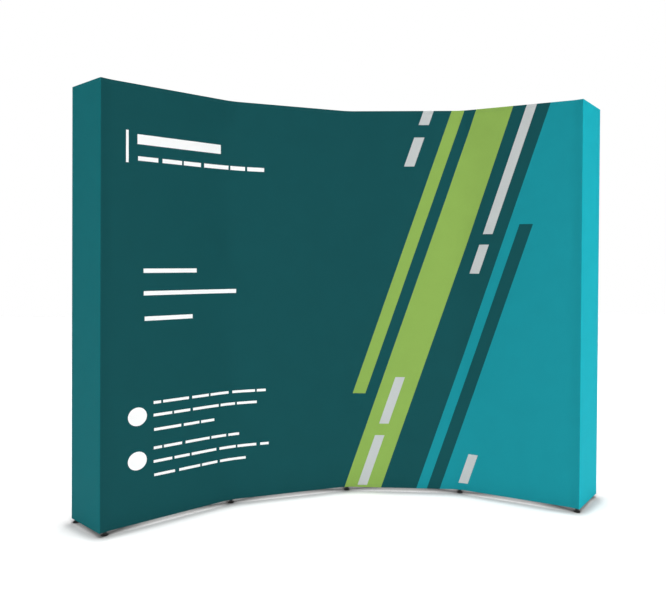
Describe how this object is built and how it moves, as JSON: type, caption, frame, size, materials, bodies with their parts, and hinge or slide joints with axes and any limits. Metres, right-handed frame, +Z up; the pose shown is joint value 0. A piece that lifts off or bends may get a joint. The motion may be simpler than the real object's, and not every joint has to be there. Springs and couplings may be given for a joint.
{
  "type": "pop up display backwall",
  "caption": "Curved free-standing exhibition backwall: a folding scissor-rod frame behind a printed fabric panel with an end flap at each side.",
  "frame": {"origin": "on the floor, below the middle of the object's bounding box", "axes": "+Z up, the printed front faces -Y, +X to the viewer's right"},
  "size_m": [2.8762, 0.7992, 2.248],
  "materials": {
    "aluminium": "satin",
    "black_nylon": "moulded",
    "lock_nylon": "moulded",
    "steel": "zinc plated",
    "rubber": "matt",
    "hook_tape": "hook tape",
    "printed_fabric": "printed knit",
    "flap_fabric": "printed knit"
  },
  "bodies": {
    "frame": {"front_hubs_column1": "black_nylon", "front_hubs_column2": "black_nylon", "front_hubs_column3": "black_nylon", "front_hubs_column4": "black_nylon", "front_hubs_column5": "black_nylon", "rear_hubs_column1": "black_nylon", "rear_hubs_column2": "black_nylon", "rear_hubs_column3": "black_nylon", "rear_hubs_column4": "black_nylon", "rear_hubs_column5": "black_nylon", "bay1_rods_left": "aluminium", "bay1_rods_right": "aluminium", "bay2_rods_left": "aluminium", "bay2_rods_right": "aluminium", "bay3_rods_left": "aluminium", "bay3_rods_right": "aluminium", "bay4_rods_left": "aluminium", "bay4_rods_right": "aluminium", "column1_rods_down": "aluminium", "column1_rods_up": "aluminium", "column2_rods_down": "aluminium", "column2_rods_up": "aluminium", "column3_rods_down": "aluminium", "column3_rods_up": "aluminium", "column4_rods_down": "aluminium", "column4_rods_up": "aluminium", "column5_rods_down": "aluminium", "column5_rods_up": "aluminium", "front_rod_ends": "black_nylon", "rear_rod_ends": "black_nylon", "scissor_rivets": "steel", "rivet_washers": "black_nylon", "hub_pins": "steel", "lock_catches": "lock_nylon", "lock_pins": "steel", "foot_sockets": "black_nylon", "hook_pads": "hook_tape"},
    "graphic": {"front_panel": "printed_fabric"},
    "left_flap": {"left_flap": "flap_fabric"},
    "right_flap": {"right_flap": "flap_fabric"},
    "lock_arm_column1_row2": {"lock_arm_column1_row2": "lock_nylon"},
    "lock_arm_column1_row3": {"lock_arm_column1_row3": "lock_nylon"},
    "lock_arm_column2_row2": {"lock_arm_column2_row2": "lock_nylon"},
    "lock_arm_column2_row3": {"lock_arm_column2_row3": "lock_nylon"},
    "lock_arm_column3_row2": {"lock_arm_column3_row2": "lock_nylon"},
    "lock_arm_column3_row3": {"lock_arm_column3_row3": "lock_nylon"},
    "lock_arm_column4_row2": {"lock_arm_column4_row2": "lock_nylon"},
    "lock_arm_column4_row3": {"lock_arm_column4_row3": "lock_nylon"},
    "lock_arm_column5_row2": {"lock_arm_column5_row2": "lock_nylon"},
    "lock_arm_column5_row3": {"lock_arm_column5_row3": "lock_nylon"},
    "front_foot_column1": {"front_foot_column1": "rubber"},
    "front_foot_column2": {"front_foot_column2": "rubber"},
    "front_foot_column3": {"front_foot_column3": "rubber"},
    "front_foot_column4": {"front_foot_column4": "rubber"},
    "front_foot_column5": {"front_foot_column5": "rubber"},
    "rear_foot_column1": {"rear_foot_column1": "rubber"},
    "rear_foot_column2": {"rear_foot_column2": "rubber"},
    "rear_foot_column3": {"rear_foot_column3": "rubber"},
    "rear_foot_column4": {"rear_foot_column4": "rubber"},
    "rear_foot_column5": {"rear_foot_column5": "rubber"}
  },
  "joints": [
    {"name": "graphic_pull_off", "type": "slide", "parent": "frame", "child": "graphic", "axis": [0, -1, 0], "range_m": [0, 0.6]},
    {"name": "left_flap_swing", "type": "hinge", "parent": "graphic", "child": "left_flap", "pos_m": [-1.2352, -0.39908, 1.135], "axis": [0, 0, 1], "range_deg": [0, 110]},
    {"name": "right_flap_swing", "type": "hinge", "parent": "graphic", "child": "right_flap", "pos_m": [1.2352, -0.39908, 1.135], "axis": [0, 0, -1], "range_deg": [0, 110]},
    {"name": "unlock_column1_row2", "type": "hinge", "parent": "frame", "child": "lock_arm_column1_row2", "pos_m": [-1.23916, -0.35543, 0.77482], "axis": [0.7307, 0.6826, 0], "range_deg": [0, 60]},
    {"name": "unlock_column1_row3", "type": "hinge", "parent": "frame", "child": "lock_arm_column1_row3", "pos_m": [-1.23916, -0.35543, 1.49518], "axis": [0.7307, 0.6826, 0], "range_deg": [0, 60]},
    {"name": "unlock_column2_row2", "type": "hinge", "parent": "frame", "child": "lock_arm_column2_row2", "pos_m": [-0.66603, 0.00672, 0.77482], "axis": [0.9303, 0.3669, 0], "range_deg": [0, 60]},
    {"name": "unlock_column2_row3", "type": "hinge", "parent": "frame", "child": "lock_arm_column2_row3", "pos_m": [-0.66603, 0.00672, 1.49518], "axis": [0.9303, 0.3669, 0], "range_deg": [0, 60]},
    {"name": "unlock_column3_row2", "type": "hinge", "parent": "frame", "child": "lock_arm_column3_row2", "pos_m": [0, 0.13333, 0.77482], "axis": [1, 0, 0], "range_deg": [0, 60]},
    {"name": "unlock_column3_row3", "type": "hinge", "parent": "frame", "child": "lock_arm_column3_row3", "pos_m": [0, 0.13333, 1.49518], "axis": [1, 0, 0], "range_deg": [0, 60]},
    {"name": "unlock_column4_row2", "type": "hinge", "parent": "frame", "child": "lock_arm_column4_row2", "pos_m": [0.66603, 0.00672, 0.77482], "axis": [0.9303, -0.3669, 0], "range_deg": [0, 60]},
    {"name": "unlock_column4_row3", "type": "hinge", "parent": "frame", "child": "lock_arm_column4_row3", "pos_m": [0.66603, 0.00672, 1.49518], "axis": [0.9303, -0.3669, 0], "range_deg": [0, 60]},
    {"name": "unlock_column5_row2", "type": "hinge", "parent": "frame", "child": "lock_arm_column5_row2", "pos_m": [1.23916, -0.35543, 0.77482], "axis": [0.7307, -0.6826, 0], "range_deg": [0, 60]},
    {"name": "unlock_column5_row3", "type": "hinge", "parent": "frame", "child": "lock_arm_column5_row3", "pos_m": [1.23916, -0.35543, 1.49518], "axis": [0.7307, -0.6826, 0], "range_deg": [0, 60]},
    {"name": "front_foot_screw_column1", "type": "slide", "parent": "frame", "child": "front_foot_column1", "axis": [0, 0, -1], "range_m": [0, 0.008]},
    {"name": "front_foot_screw_column2", "type": "slide", "parent": "frame", "child": "front_foot_column2", "axis": [0, 0, -1], "range_m": [0, 0.008]},
    {"name": "front_foot_screw_column3", "type": "slide", "parent": "frame", "child": "front_foot_column3", "axis": [0, 0, -1], "range_m": [0, 0.008]},
    {"name": "front_foot_screw_column4", "type": "slide", "parent": "frame", "child": "front_foot_column4", "axis": [0, 0, -1], "range_m": [0, 0.008]},
    {"name": "front_foot_screw_column5", "type": "slide", "parent": "frame", "child": "front_foot_column5", "axis": [0, 0, -1], "range_m": [0, 0.008]},
    {"name": "rear_foot_screw_column1", "type": "slide", "parent": "frame", "child": "rear_foot_column1", "axis": [0, 0, -1], "range_m": [0, 0.008]},
    {"name": "rear_foot_screw_column2", "type": "slide", "parent": "frame", "child": "rear_foot_column2", "axis": [0, 0, -1], "range_m": [0, 0.008]},
    {"name": "rear_foot_screw_column3", "type": "slide", "parent": "frame", "child": "rear_foot_column3", "axis": [0, 0, -1], "range_m": [0, 0.008]},
    {"name": "rear_foot_screw_column4", "type": "slide", "parent": "frame", "child": "rear_foot_column4", "axis": [0, 0, -1], "range_m": [0, 0.008]},
    {"name": "rear_foot_screw_column5", "type": "slide", "parent": "frame", "child": "rear_foot_column5", "axis": [0, 0, -1], "range_m": [0, 0.008]}
  ]
}
